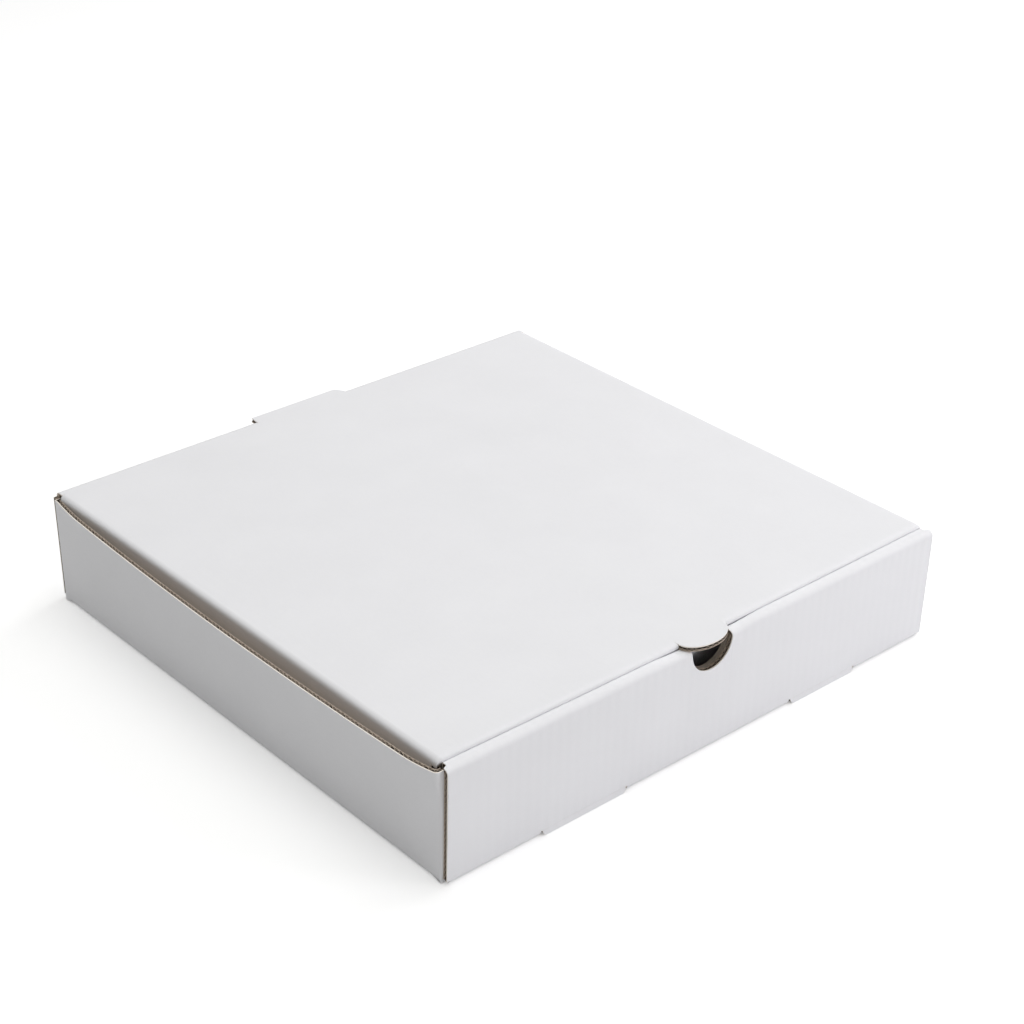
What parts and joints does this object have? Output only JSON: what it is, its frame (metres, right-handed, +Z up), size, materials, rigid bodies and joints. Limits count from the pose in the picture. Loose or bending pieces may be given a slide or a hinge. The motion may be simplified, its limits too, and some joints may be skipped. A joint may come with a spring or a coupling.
{
  "type": "pizza box",
  "caption": "Flat square folded corrugated box with a hinged tuck-in lid, locked double front wall, thumb notch and tab, for carrying a pizza.",
  "frame": {"origin": "middle of the base panel's underside, on the floor, halfway between the walls", "axes": "+Z up out of the box, +Y from the front wall to the hinged back wall, +X to the right seen from the front"},
  "size_m": [0.3306, 0.3257, 0.0635],
  "materials": {
    "white_board": "matte white outer liner over brown kraft corrugated board, brown at cut edges and inside"
  },
  "bodies": {
    "tray_body": {"tray": "white_board"},
    "lid_body": {"lid": "white_board"}
  },
  "joints": [
    {"name": "lid_hinge", "type": "hinge", "parent": "tray_body", "child": "lid_body", "pos_m": [0, 0.15827, 0.06277], "axis": [-1, 0, 0], "range_deg": [0, 180]}
  ]
}
